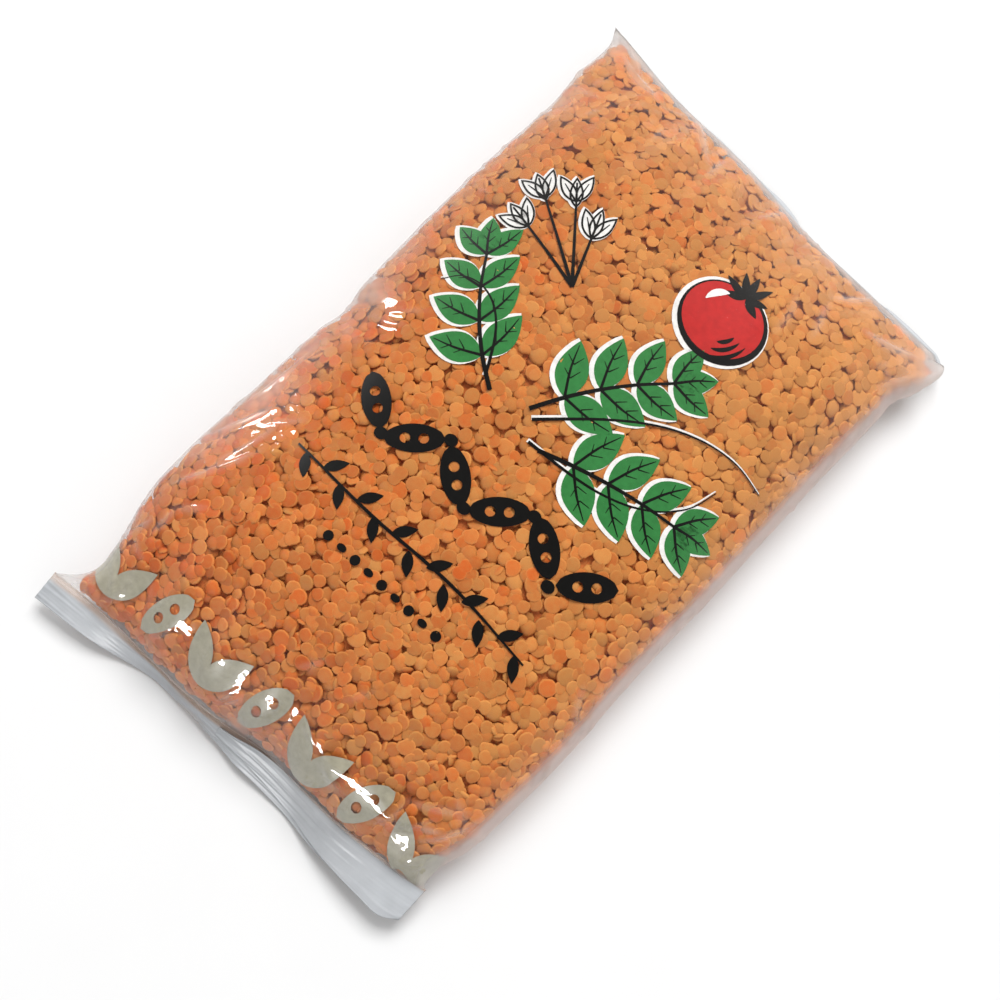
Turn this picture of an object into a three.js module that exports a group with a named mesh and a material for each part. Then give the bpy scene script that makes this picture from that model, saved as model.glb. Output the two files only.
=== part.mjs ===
// A clear sealed bag of split lentils, lying flat on its back.
// Millimetres, +Z up. The origin is on the resting plane, under the middle of
// the bag's box. +Y runs along the bag to its top end, +X across it.
// The bag is one closed body: a pillow with a flat resting face, rounded sides,
// and at each end a thin sealed fin that is wider than the pillow beside it.

import * as THREE from "three";

// Driving dimensions
const CROWN_HEIGHT = 41;
const SIDE_HEIGHT = 14;
const SEAL_HEIGHT = { bottom: 9, top: 14 };
const FILM_PAIR = 0.6;
const SHOULDER = { bottom: 62, top: 56 };
const HEEL = { bottom: 20, top: 26 };
const SHOULDER_ROUND = { power: 1.9, root: 1.35 };
const TOP_ROUND = { power: 3.0, root: 2.0 };
const UNDER_ROUND = { power: 6.0, root: 2.0 };
const UNDER_PRESS = 1.6;

// Grid counts
const COLUMNS = 32;
const ROWS = 44;
const FIN_ROWS = 3;
const END_CROWDING = 0.72;

// Side outlines seen from above, as [along the bag, across the bag].
const LEFT_SIDE = [
  [-128, -82.2], [-122, -74], [-115, -70.8], [-102, -73.2], [-88, -76.6], [-70, -77.3],
  [-40, -75.8], [-12, -74.7], [-2, -73.2], [8, -74.9], [55, -75.2], [98, -73.2], [112, -74.4],
  [127, -73.6], [134, -77],
];
const RIGHT_SIDE = [
  [-122, 77], [-117, 73.2], [-111, 72.4], [-100, 75.8], [-82, 77.4], [-60, 78.2], [-25, 77.2],
  [12, 77.7], [55, 77.3], [90, 77.8], [98, 77.6], [106, 81], [115, 83.2], [122, 82.4],
];

// Lines where the pillow ends and each fin starts, as [across, along].
const BOTTOM_ROOT = [
  [-82, -127.4], [-57, -126], [-24, -126], [-8, -124.6], [8, -122.2], [38, -123], [60, -121.2],
  [78, -118.4],
];
const TOP_ROOT = [[-77, 133.2], [-52, 129.4], [-22, 126.8], [14, 123], [50, 119.8], [83, 119.4]];

// Fins, as [across, depth] and [across, droop in degrees].
const FIN_DEPTH = 11.5;
const BOTTOM_DEPTH = [
  [-83, 10.4], [-60, 9.6], [-40, 8], [-16, 8.4], [4, 10.4], [40, 11.5], [60, 12.2], [70, 13],
  [78, 9.6],
];
const BOTTOM_DROOP = [
  [-83, 18], [-60, 24], [-46, 48], [-34, 66], [-22, 66], [-8, 50], [6, 34], [26, 34], [44, 22],
  [60, 12], [70, 8], [78, 10],
];
const TOP_DROOP = [[-77, 72], [-20, 70], [10, 66], [20, 78], [46, 80], [56, 66], [83, 70]];
const CUFF_WAVE = { height: 1.2, length: 61, phase: 0.16 };

// Creases that run from the seals into the pillow.
const CREASES = { height: 1.5, length: 25, sway: 0.4, bend: 33, reach: 13, topShift: 9 };

// Broad swells and dents of the upper face: place, reach and height.
const SWELLS = [
  { across: -76, along: -2, wide: 17, long: 8, high: -5 },
  { across: -34, along: 62, wide: 40, long: 46, high: 1.4 },
  { across: 34, along: 18, wide: 34, long: 40, high: -0.7 },
  { across: -22, along: -62, wide: 40, long: 34, high: 1.6 },
  { across: 46, along: -74, wide: 30, long: 36, high: -0.8 },
  { across: 58, along: 92, wide: 26, long: 24, high: 1.5 },
  { across: -66, along: 112, wide: 26, long: 14, high: -2.2 },
  { across: 66, along: -104, wide: 20, long: 16, high: -1.8 },
];

// A smooth line through a few [position, value] points.
function through(points, position) {
  const last = points.length - 1;
  if (position <= points[0][0]) return points[0][1];
  if (position >= points[last][0]) return points[last][1];
  let k = 0;
  while (points[k + 1][0] < position) k += 1;
  const slope = (a, b) => (points[b][1] - points[a][1]) / (points[b][0] - points[a][0]);
  const tangent = (i) => (i === 0 || i === last ? slope(k, k + 1) : slope(i - 1, i + 1));
  const span = points[k + 1][0] - points[k][0];
  const t = (position - points[k][0]) / span;
  const rise = points[k + 1][1] - points[k][1];
  const ease = t * t * (3 - 2 * t);
  const lead = t * (1 - t) * (1 - t) * tangent(k) * span;
  const trail = t * t * (1 - t) * tangent(k + 1) * span;
  return points[k][1] + rise * ease + lead - trail;
}

const mix = (a, b, t) => a + (b - a) * t;

// A round that leaves zero steeply and levels off at one.
function round(t, shape) {
  const left = 1 - Math.min(Math.max(t, 0), 1);
  return (1 - left ** shape.power) ** (1 / shape.root);
}

function creaseHeight(across, distance) {
  const t = distance / CREASES.reach;
  const turn = across / CREASES.length + CREASES.sway * Math.sin(across / CREASES.bend);
  return CREASES.height * t * Math.exp(1 - t) * Math.cos(2 * Math.PI * turn);
}

function swellHeight(across, along) {
  let height = 0;
  for (const swell of SWELLS) {
    const a = (across - swell.across) / swell.wide;
    const b = (along - swell.along) / swell.long;
    height += swell.high * Math.exp(-(a * a + b * b));
  }
  return height;
}

// Height of the line where both films meet, along each end.
function sealHeight(end, across) {
  const turn = across / CUFF_WAVE.length + CUFF_WAVE.phase;
  return SEAL_HEIGHT[end] + CUFF_WAVE.height * Math.cos(2 * Math.PI * turn);
}

// The pillow's upper and lower point at one place of the grid.
function pillowPair(u, v) {
  const leftAlong = mix(BOTTOM_ROOT[0][1], TOP_ROOT[0][1], v);
  const rightAlong = mix(BOTTOM_ROOT.at(-1)[1], TOP_ROOT.at(-1)[1], v);
  const left = through(LEFT_SIDE, leftAlong);
  const right = through(RIGHT_SIDE, rightAlong);
  const across = mix(left, right, (u + 1) / 2);
  const start = through(BOTTOM_ROOT, across);
  const finish = through(TOP_ROOT, across);
  const along = mix(start, finish, v);
  const fromBottom = along - start;
  const fromTop = finish - along;

  const shoulder =
    round(fromBottom / SHOULDER.bottom, SHOULDER_ROUND) * round(fromTop / SHOULDER.top, SHOULDER_ROUND);
  const heel =
    round(fromBottom / HEEL.bottom, SHOULDER_ROUND) * round(fromTop / HEEL.top, SHOULDER_ROUND);
  const seal = mix(sealHeight("bottom", across), sealHeight("top", across), v);
  const edge = mix(seal, SIDE_HEIGHT, heel);
  const topRound = (1 - Math.abs(u) ** TOP_ROUND.power) ** (1 / TOP_ROUND.root);
  const underRound = (1 - Math.abs(u) ** UNDER_ROUND.power) ** (1 / UNDER_ROUND.root);

  const crown = CROWN_HEIGHT + swellHeight(across, along);
  const crease = creaseHeight(across, fromBottom) + creaseHeight(across + CREASES.topShift, fromTop);
  const upper = edge + ((crown - edge) * shoulder + crease + FILM_PAIR / 2) * topRound;
  const depth = (edge + UNDER_PRESS) * heel + FILM_PAIR / 2;
  const lower = Math.max(0, edge - depth * underRound);
  return {
    upper: new THREE.Vector3(across, along, upper),
    lower: new THREE.Vector3(across, along, lower),
  };
}

// A fin's upper and lower point, a part of the way from its root to its edge.
function finPair(end, u, part) {
  const isBottom = end === "bottom";
  const root = pillowPair(u, isBottom ? 0 : 1).upper;
  const reach = part * (isBottom ? through(BOTTOM_DEPTH, root.x) : FIN_DEPTH);
  const droop = THREE.MathUtils.degToRad(through(isBottom ? BOTTOM_DROOP : TOP_DROOP, root.x));
  const outward = isBottom ? -1 : 1;
  const thick = Math.abs(u) === 1 ? 0 : FILM_PAIR / 2;
  const middle = new THREE.Vector3(
    root.x,
    root.y + outward * reach * Math.cos(droop),
    sealHeight(end, root.x) - reach * Math.sin(droop),
  );
  const face = new THREE.Vector3(0, outward * Math.sin(droop), Math.cos(droop)).multiplyScalar(thick);
  return { upper: middle.clone().add(face), lower: middle.clone().sub(face) };
}

function bagRows() {
  const columns = Array.from({ length: COLUMNS + 1 }, (_, j) =>
    j === 0 ? -1 : j === COLUMNS ? 1 : Math.sin((j / COLUMNS - 0.5) * Math.PI),
  );
  const rows = [];
  for (let i = FIN_ROWS; i > 0; i -= 1) {
    rows.push(columns.map((u) => finPair("bottom", u, i / FIN_ROWS)));
  }
  for (let i = 0; i <= ROWS; i += 1) {
    const even = i / ROWS;
    const crowded = (1 - Math.cos(Math.PI * even)) / 2;
    rows.push(columns.map((u) => pillowPair(u, mix(even, crowded, END_CROWDING))));
  }
  for (let i = 1; i <= FIN_ROWS; i += 1) {
    rows.push(columns.map((u) => finPair("top", u, i / FIN_ROWS)));
  }
  return rows;
}

// The two films as one closed surface: they share the points of both sides,
// and a narrow strip closes each fin's outer edge.
function bagGeometry() {
  const rows = bagRows();
  const places = [];
  const upper = [];
  const lower = [];
  for (const row of rows) {
    const upperRow = [];
    const lowerRow = [];
    row.forEach((pair, j) => {
      upperRow.push(places.push(pair.upper) - 1);
      const isSide = j === 0 || j === COLUMNS;
      lowerRow.push(isSide ? upperRow[j] : places.push(pair.lower) - 1);
    });
    upper.push(upperRow);
    lower.push(lowerRow);
  }

  const faces = [];
  const addQuad = (a, b, c, d) => {
    if (a !== b && b !== c && a !== c) faces.push(a, b, c);
    if (a !== c && c !== d && a !== d) faces.push(a, c, d);
  };
  for (let i = 0; i + 1 < rows.length; i += 1) {
    for (let j = 0; j < COLUMNS; j += 1) {
      addQuad(upper[i][j], upper[i][j + 1], upper[i + 1][j + 1], upper[i + 1][j]);
      addQuad(lower[i][j], lower[i + 1][j], lower[i + 1][j + 1], lower[i][j + 1]);
    }
  }
  const last = rows.length - 1;
  for (let j = 0; j < COLUMNS; j += 1) {
    addQuad(lower[0][j], lower[0][j + 1], upper[0][j + 1], upper[0][j]);
    addQuad(upper[last][j], upper[last][j + 1], lower[last][j + 1], lower[last][j]);
  }

  const geometry = new THREE.BufferGeometry();
  geometry.setAttribute(
    "position",
    new THREE.Float32BufferAttribute(places.flatMap((place) => place.toArray()), 3),
  );
  geometry.setIndex(faces);
  geometry.computeVertexNormals();
  return geometry;
}

const bagMaterial = new THREE.MeshStandardMaterial({
  name: "filled_clear_film",
  color: 0xd4834a,
  roughness: 0.35,
  metalness: 0,
});

const bag = new THREE.Mesh(bagGeometry(), bagMaterial);
bag.name = "bag";

// The resting face stays at height zero, and the box is centred over the origin.
bag.geometry.computeBoundingBox();
const box = bag.geometry.boundingBox;
bag.geometry.translate(-(box.min.x + box.max.x) / 2, -(box.min.y + box.max.y) / 2, 0);

const lentilBag = new THREE.Group();
lentilBag.name = "lentil_bag";
lentilBag.add(bag);

export default lentilBag;
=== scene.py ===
"""A clear sealed bag of split lentils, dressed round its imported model.

The bag is worked out as one surface: a pillow that ends in a thin fin at each
end. The lentils are packed under it in a chart, a flat map of that surface
whose columns run round the bag and whose rows run along it. The film is drawn
over the lentils, and the print lies just under the film.
Sizes are millimetres until a mesh is made, where they become metres.
"""

import math

import bmesh
import bpy
import numpy as np
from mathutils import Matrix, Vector
from mathutils.bvhtree import BVHTree
from mathutils.geometry import tessellate_polygon


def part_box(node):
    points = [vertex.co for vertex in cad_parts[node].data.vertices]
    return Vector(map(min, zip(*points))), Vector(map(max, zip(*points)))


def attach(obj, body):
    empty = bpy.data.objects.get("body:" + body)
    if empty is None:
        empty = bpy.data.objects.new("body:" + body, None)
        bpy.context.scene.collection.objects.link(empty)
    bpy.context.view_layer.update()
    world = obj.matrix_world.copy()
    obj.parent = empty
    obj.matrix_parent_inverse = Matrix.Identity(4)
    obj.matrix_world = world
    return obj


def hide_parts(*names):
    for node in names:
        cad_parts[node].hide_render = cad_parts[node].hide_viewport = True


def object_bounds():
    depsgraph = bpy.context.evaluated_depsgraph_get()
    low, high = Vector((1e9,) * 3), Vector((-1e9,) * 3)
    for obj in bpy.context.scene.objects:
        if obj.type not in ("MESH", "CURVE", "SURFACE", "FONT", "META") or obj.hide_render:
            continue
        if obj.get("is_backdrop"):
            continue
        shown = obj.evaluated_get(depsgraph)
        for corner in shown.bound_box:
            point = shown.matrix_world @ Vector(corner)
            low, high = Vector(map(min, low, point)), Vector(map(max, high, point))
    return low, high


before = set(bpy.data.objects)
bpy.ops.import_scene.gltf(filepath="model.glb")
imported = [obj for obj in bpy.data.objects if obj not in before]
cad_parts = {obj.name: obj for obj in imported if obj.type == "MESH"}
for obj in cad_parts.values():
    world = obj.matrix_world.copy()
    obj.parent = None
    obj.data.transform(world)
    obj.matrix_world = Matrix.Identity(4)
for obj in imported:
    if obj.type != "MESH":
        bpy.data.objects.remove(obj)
CAD_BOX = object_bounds()
BAG_NODE = "bag"
BODY = "root"
MM = 0.001

bl_info = {
    "name": "Bag of lentils",
    "version": (1, 0, 0),
    "blender": (4, 5, 0),
    "location": "3D View > Sidebar > Lentils",
    "description": "Builds a clear sealed bag of split lentils and its studio",
    "category": "Add Mesh",
}


# The bag's form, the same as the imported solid's

CROWN_HEIGHT = 41
SIDE_HEIGHT = 14
SEAL_HEIGHT = {"bottom": 9, "top": 14}
FILM_PAIR = 0.6
SHOULDER = {"bottom": 62, "top": 56}
HEEL = {"bottom": 20, "top": 26}
SHOULDER_ROUND = (1.9, 1.35)
TOP_ROUND = (3.0, 2.0)
UNDER_ROUND = (6.0, 2.0)
UNDER_PRESS = 1.6

LEFT_SIDE = [
    (-128, -82.2), (-122, -74), (-115, -70.8), (-102, -73.2), (-88, -76.6), (-70, -77.3),
    (-40, -75.8), (-12, -74.7), (-2, -73.2), (8, -74.9), (55, -75.2), (98, -73.2), (112, -74.4),
    (127, -73.6), (134, -77),
]
RIGHT_SIDE = [
    (-122, 77), (-117, 73.2), (-111, 72.4), (-100, 75.8), (-82, 77.4), (-60, 78.2), (-25, 77.2),
    (12, 77.7), (55, 77.3), (90, 77.8), (98, 77.6), (106, 81), (115, 83.2), (122, 82.4),
]
BOTTOM_ROOT = [
    (-82, -127.4), (-57, -126), (-24, -126), (-8, -124.6), (8, -122.2), (38, -123), (60, -121.2),
    (78, -118.4),
]
TOP_ROOT = [(-77, 133.2), (-52, 129.4), (-22, 126.8), (14, 123), (50, 119.8), (83, 119.4)]
FIN_DEPTH = {
    "bottom": [
        (-83, 10.4), (-60, 9.6), (-40, 8), (-16, 8.4), (4, 10.4), (40, 11.5), (60, 12.2), (70, 13),
        (78, 9.6),
    ],
    "top": [(-83, 11.5), (83, 11.5)],
}
FIN_DROOP = {
    "bottom": [
        (-83, 18), (-60, 24), (-46, 48), (-34, 66), (-22, 66), (-8, 50), (6, 34), (26, 34),
        (44, 22), (60, 12), (70, 8), (78, 10),
    ],
    "top": [(-77, 72), (-20, 70), (10, 66), (20, 78), (46, 80), (56, 66), (83, 70)],
}
CUFF_WAVE = {"height": 1.2, "length": 61, "phase": 0.16}
CREASES = {"height": 1.5, "length": 25, "sway": 0.4, "bend": 33, "reach": 13, "top_shift": 9}
# Swells of the upper face: across, along, reach across, reach along and height
SWELLS = [
    (-76, -2, 17, 8, -5), (-34, 62, 40, 46, 1.4), (34, 18, 34, 40, -0.7), (-22, -62, 40, 34, 1.6),
    (46, -74, 30, 36, -0.8), (58, 92, 26, 24, 1.5), (-66, 112, 26, 14, -2.2),
    (66, -104, 20, 16, -1.8),
]


def through(points, place):
    """A smooth line through a few (position, value) points."""
    at, value = np.array(points, float).T
    slope = np.diff(value) / np.diff(at)
    tangent = np.concatenate([slope[:1], (value[2:] - value[:-2]) / (at[2:] - at[:-2]), slope[-1:]])
    place = np.clip(np.asarray(place, float), at[0], at[-1])
    k = np.clip(np.searchsorted(at, place, side="left") - 1, 0, len(slope) - 1)
    span = at[k + 1] - at[k]
    t = (place - at[k]) / span
    lead = t * (1 - t) ** 2 * tangent[k] * span
    trail = t * t * (1 - t) * tangent[k + 1] * span
    return value[k] + (value[k + 1] - value[k]) * t * t * (3 - 2 * t) + lead - trail


def rounded(t, shape):
    """Leaves zero steeply and levels off at one."""
    power, root = shape
    return (1 - (1 - np.clip(t, 0, 1)) ** power) ** (1 / root)


def rise_and_fall(t):
    """From nothing to one at t = 1, then slowly back."""
    return t * np.exp(1 - t)


def crease_height(across, distance):
    t = distance / CREASES["reach"]
    turn = across / CREASES["length"] + CREASES["sway"] * np.sin(across / CREASES["bend"])
    return CREASES["height"] * rise_and_fall(t) * np.cos(2 * np.pi * turn)


def swell_height(across, along):
    height = 0.0
    for x, y, wide, long, high in SWELLS:
        a = (across - x) / wide
        b = (along - y) / long
        height = height + high * np.exp(-(a * a + b * b))
    return height


def seal_height(end, across):
    turn = across / CUFF_WAVE["length"] + CUFF_WAVE["phase"]
    return SEAL_HEIGHT[end] + CUFF_WAVE["height"] * np.cos(2 * np.pi * turn)


def pillow_pair(u, v):
    """Upper and lower points of the pillow at u across (-1 to 1) and v along (0 to 1)."""
    u, v = np.broadcast_arrays(np.asarray(u, float), np.asarray(v, float))
    left = through(LEFT_SIDE, BOTTOM_ROOT[0][1] + (TOP_ROOT[0][1] - BOTTOM_ROOT[0][1]) * v)
    right = through(RIGHT_SIDE, BOTTOM_ROOT[-1][1] + (TOP_ROOT[-1][1] - BOTTOM_ROOT[-1][1]) * v)
    across = left + (right - left) * (u + 1) / 2
    start = through(BOTTOM_ROOT, across)
    finish = through(TOP_ROOT, across)
    along = start + (finish - start) * v

    def from_ends(reach):
        first = rounded((along - start) / reach["bottom"], SHOULDER_ROUND)
        return first * rounded((finish - along) / reach["top"], SHOULDER_ROUND)

    heel = from_ends(HEEL)
    seal = seal_height("bottom", across) * (1 - v) + seal_height("top", across) * v
    edge = seal + (SIDE_HEIGHT - seal) * heel
    top_round = (1 - np.abs(u) ** TOP_ROUND[0]) ** (1 / TOP_ROUND[1])
    under_round = (1 - np.abs(u) ** UNDER_ROUND[0]) ** (1 / UNDER_ROUND[1])
    crown = CROWN_HEIGHT + swell_height(across, along)
    crease = crease_height(across, along - start)
    crease = crease + crease_height(across + CREASES["top_shift"], finish - along)
    upper = edge + ((crown - edge) * from_ends(SHOULDER) + crease + FILM_PAIR / 2) * top_round
    lower = np.maximum(0, edge - ((edge + UNDER_PRESS) * heel + FILM_PAIR / 2) * under_round)
    return np.stack([across, along, upper], -1), np.stack([across, along, lower], -1)


def fin_point(end, u, part):
    """Middle point, and unit normal, of a fin at u across and a part of its depth."""
    u, part = np.broadcast_arrays(np.asarray(u, float), np.asarray(part, float))
    root = pillow_pair(u, 0.0 if end == "bottom" else 1.0)[0]
    across = root[..., 0]
    reach = part * through(FIN_DEPTH[end], across)
    droop = np.radians(through(FIN_DROOP[end], across))
    outward = -1 if end == "bottom" else 1
    along = root[..., 1] + outward * reach * np.cos(droop)
    height = seal_height(end, across) - reach * np.sin(droop)
    face = np.stack([0 * droop, outward * np.sin(droop), np.cos(droop)], -1)
    return np.stack([across, along, height], -1), face


def box_shift():
    """How far the worked-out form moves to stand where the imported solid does."""
    sides = pillow_pair(np.array([[-1.0], [1.0]]), np.linspace(0, 1, 1200))[0].reshape(-1, 3)
    ends = [fin_point(end, np.linspace(-1, 1, 400), 1.0)[0] for end in ("bottom", "top")]
    points = np.concatenate([sides] + ends)
    middle = (points.min(0) + points.max(0)) / 2
    low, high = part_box(BAG_NODE)
    return np.array([(low[k] + high[k]) / 2 / MM - middle[k] for k in (0, 1)] + [0.0])


SHIFT = box_shift()


# Settings that a user would change

def number(name, description, default, **more):
    return bpy.props.FloatProperty(name=name, description=description, default=default, **more)


def whole(name, description, default, **more):
    return bpy.props.IntProperty(name=name, description=description, default=default, **more)


def colour(name, description, default):
    return bpy.props.FloatVectorProperty(
        name=name, description=description, subtype="COLOR", size=3, default=default)


class FilmSettings(bpy.types.PropertyGroup):
    """Sizes and finish of the clear film"""

    cell: number("Cell", "Spacing of the mesh on the upper face, in millimetres", 0.88, min=0.5)
    slack: number("Slack", "Gap between film and lentils, in millimetres", 0.3)
    creases: whole("Creases", "Small creases scattered over the film", 170, min=0)
    roughness: number("Roughness", "Roughness of the film's gloss", 0.05, subtype="FACTOR")
    haze: colour("Haze", "Colour of film that is creased or doubled", (0.74, 0.71, 0.69))
    milk: colour("Milk", "Colour of the sealed fins", (0.54, 0.56, 0.585))


class LentilSettings(bpy.types.PropertyGroup):
    """Sizes and colours of the split lentils"""

    diameter: number("Diameter", "Mean width of a lentil, in millimetres", 5.8)
    spread: number("Spread", "Spread of the widths, as a part of the mean", 0.1)
    thickness: number("Thickness", "Mean thickness of a half, in millimetres", 1.8)
    depth: number("Depth", "How deep loose lentils lie, in millimetres", 5.8)
    seed: whole("Seed", "Seed of every random draw", 11)
    pale: colour("Pale", "Colour of the palest lentils", (0.665, 0.338, 0.095))
    deep: colour("Deep", "Colour of the deepest lentils", (0.67, 0.135, 0.019))


class PrintSettings(bpy.types.PropertyGroup):
    """Colours of the print and its depth under the film"""

    sink: number("Sink", "Depth of the first ink under the film, in millimetres", 0.05)
    green: colour("Green", "Green ink", (0.03, 0.20, 0.045))
    red: colour("Red", "Red ink", (0.50, 0.016, 0.014))
    black: colour("Black", "Black ink", (0.005, 0.0045, 0.004))
    white: colour("White", "White ink", (0.80, 0.78, 0.75))
    grey: colour("Grey", "Grey-beige ink", (0.36, 0.335, 0.25))


class StageSettings(bpy.types.PropertyGroup):
    """Camera, lamps and floor"""

    azimuth: number("Azimuth", "Turn of the camera round the bag, in degrees", 43.15)
    elevation: number("Elevation", "Height angle of the camera, in degrees", 76.85)
    distance: number("Distance", "From the camera to its target", 0.65, unit="LENGTH")
    scale: number("Scale", "Millimetres of the bag seen by one pixel in 1000", 0.3198)
    sky: number("Sky", "Mean strength of the sky", 0.42)
    fill: number("Fill", "How much stronger the sky is on its bright side", 0.35)
    key: number("Key", "Power of the key lamp", 91.0)
    gleam: number("Gleam", "Power of the lamps that the film mirrors", 0.9)
    floor: colour("Floor", "Colour of the floor", (0.78, 0.78, 0.78))


# Small tools for meshes

# Place in plan, side of the bag and radius of each ear
TOP_EARS = [(-77.2, 136.5, -1, 4.5), (83.3, 122.5, 1, 8)]


def link_object(name, data):
    piece = bpy.data.objects.new(name, data)
    bpy.context.scene.collection.objects.link(piece)
    return piece


def add_mesh(name, points, faces, smooth=True):
    """A mesh object from points in millimetres and rows of corner numbers."""
    mesh = bpy.data.meshes.new(name)
    points = np.asarray(points, float).reshape(-1, 3) * MM
    mesh.from_pydata(points.tolist(), [], [tuple(int(c) for c in face) for face in faces])
    if smooth:
        mesh.shade_smooth()
    return link_object(name, mesh)


def face_outwards(piece):
    """Triangulates wide faces and turns every face outwards."""
    work = bmesh.new()
    work.from_mesh(piece.data)
    bmesh.ops.triangulate(work, faces=[face for face in work.faces if len(face.verts) > 4])
    bmesh.ops.recalc_face_normals(work, faces=work.faces)
    work.to_mesh(piece.data)
    work.free()
    piece.data.shade_smooth()


def add_values(piece, name, values):
    """A number, or three, kept on each point of a piece."""
    values = np.asarray(values, np.float32)
    vector = values.ndim == 2
    layer = piece.data.attributes.new(name, "FLOAT_VECTOR" if vector else "FLOAT", "POINT")
    layer.data.foreach_set("vector" if vector else "value", values.ravel())


def dress(piece, material=None):
    """Puts a finished piece on the bag's body and material."""
    if material is not None:
        piece.data.materials.clear()
        piece.data.materials.append(material)
    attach(piece, BODY)
    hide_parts(BAG_NODE)


def unit(vectors):
    return vectors / np.maximum(np.linalg.norm(vectors, axis=-1, keepdims=True), 1e-9)


def bell(distance, reach):
    """One at no distance, falling smoothly to nothing past the reach."""
    return np.exp(-((distance / reach) ** 2))


def round_ears(points):
    """Turns the square ears at the top end into round ones, seen from above."""
    points = np.array(points)
    for across, along, side, radius in TOP_EARS:
        middle = np.array([across - side * radius, along - radius]) + SHIFT[:2]
        away = points[..., :2] - middle
        out = away * np.array([side, 1])
        inner = np.maximum(out.max(-1), 1e-9) / np.maximum(np.linalg.norm(away, axis=-1), 1e-9)
        factor = np.where((out > 0).all(-1), inner, 1.0)
        points[..., :2] = middle + away * factor[..., None]
    return points


def grid_faces(index):
    """Four-cornered faces between neighbours in a grid of point numbers."""
    corners = [index[:-1, :-1], index[:-1, 1:], index[1:, 1:], index[1:, :-1]]
    return np.stack(corners, -1).reshape(-1, 4)


def tube_faces(rows, columns):
    """Faces of a grid joined round into a tube, with one wide face at each end."""
    index = np.arange(rows * columns).reshape(rows, columns)
    sides = grid_faces(np.concatenate([index, index[:, :1]], 1)).tolist()
    return sides + [index[0][::-1].tolist(), index[-1].tolist()]


# The chart: the pillow's surface laid flat

class Chart:
    """The pillow as a grid with both spacings close to one cell.

    Columns start at the left side, cross the upper face to the right side and
    come back under the bag.
    """

    CELL = 0.5
    FINE = 420
    INNER = 0.82

    def __init__(self):
        v = np.linspace(0, 1, 1500)
        length = self.lengths(pillow_pair(0.0, v)[0][None])[0]
        self.rows = int(length[-1] / self.CELL) + 1
        self.v = np.interp(np.linspace(0, length[-1], self.rows), length, v)
        u = np.sin(np.linspace(-np.pi / 2, np.pi / 2, self.FINE))
        upper, lower = pillow_pair(u[None, :], self.v[:, None])
        top, top_u = self.even(upper, u)
        under, under_u = self.even(lower[:, ::-1], u[::-1])
        self.top_columns = top.shape[1]
        self.columns = self.top_columns + under.shape[1]
        self.place = np.concatenate([top, under], 1) + SHIFT
        self.u = np.concatenate([top_u, under_u], 1)
        self.is_upper = np.broadcast_to(np.arange(self.columns) < self.top_columns, self.u.shape)
        round_way = np.roll(self.place, -1, 1) - np.roll(self.place, 1, 1)
        self.normal = unit(np.cross(round_way, np.gradient(self.place, axis=0)))
        self.round_way = unit(round_way)
        self.long_way = np.cross(self.normal, self.round_way)
        high, low = pillow_pair(np.clip(self.u, -self.INNER, self.INNER), self.v[:, None])
        self.thickness = high[..., 2] - low[..., 2]
        self.across, along = np.moveaxis(self.place[..., :2] - SHIFT[:2], -1, 0)
        self.inside = {
            "left": self.across - through(LEFT_SIDE, along),
            "right": through(RIGHT_SIDE, along) - self.across,
            "top": through(TOP_ROOT, self.across) - along,
            "bottom": along - through(BOTTOM_ROOT, self.across),
        }

    @staticmethod
    def lengths(lines):
        """Length from its start to each point of each line."""
        step = np.linalg.norm(np.diff(lines, axis=1), axis=2)
        return np.concatenate([np.zeros((len(lines), 1)), np.cumsum(step, axis=1)], axis=1)

    def even(self, lines, u):
        """Each line again, with evenly spaced points and without its last."""
        length = self.lengths(lines)
        count = int(np.median(length[:, -1]) / self.CELL)
        place = np.empty((len(lines), count, 3))
        new_u = np.empty((len(lines), count))
        for i, line in enumerate(lines):
            at = np.arange(count) / count * length[i, -1]
            new_u[i] = np.interp(at, length[i], u)
            for k in range(3):
                place[i, :, k] = np.interp(at, length[i], line[:, k])
        return place, new_u

    def sample(self, field, row, column):
        """Values of a grid field at real-valued rows and columns."""
        row = np.clip(row, 0, self.rows - 1.001)
        i = row.astype(int)
        j = np.floor(column).astype(int)
        a = row - i
        b = column - j
        if field.ndim == 3:
            a = a[..., None]
            b = b[..., None]
        j, after = j % self.columns, (j + 1) % self.columns
        first = field[i, j] * (1 - b) + field[i, after] * b
        second = field[i + 1, j] * (1 - b) + field[i + 1, after] * b
        return first * (1 - a) + second * a

    def nearest(self, across, along):
        """Row and column of the upper face's point under a place in plan."""
        gap = (self.place[..., 0] - across) ** 2 + (self.place[..., 1] - along) ** 2
        return np.unravel_index(np.where(self.is_upper, gap, 1e9).argmin(), gap.shape)

    def ways(self, row, column):
        """Unit vectors round the bag, along it and out of it at the given cells."""
        return [way[row, column] for way in (self.round_way, self.long_way, self.normal)]


# Packing the lentils

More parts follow.
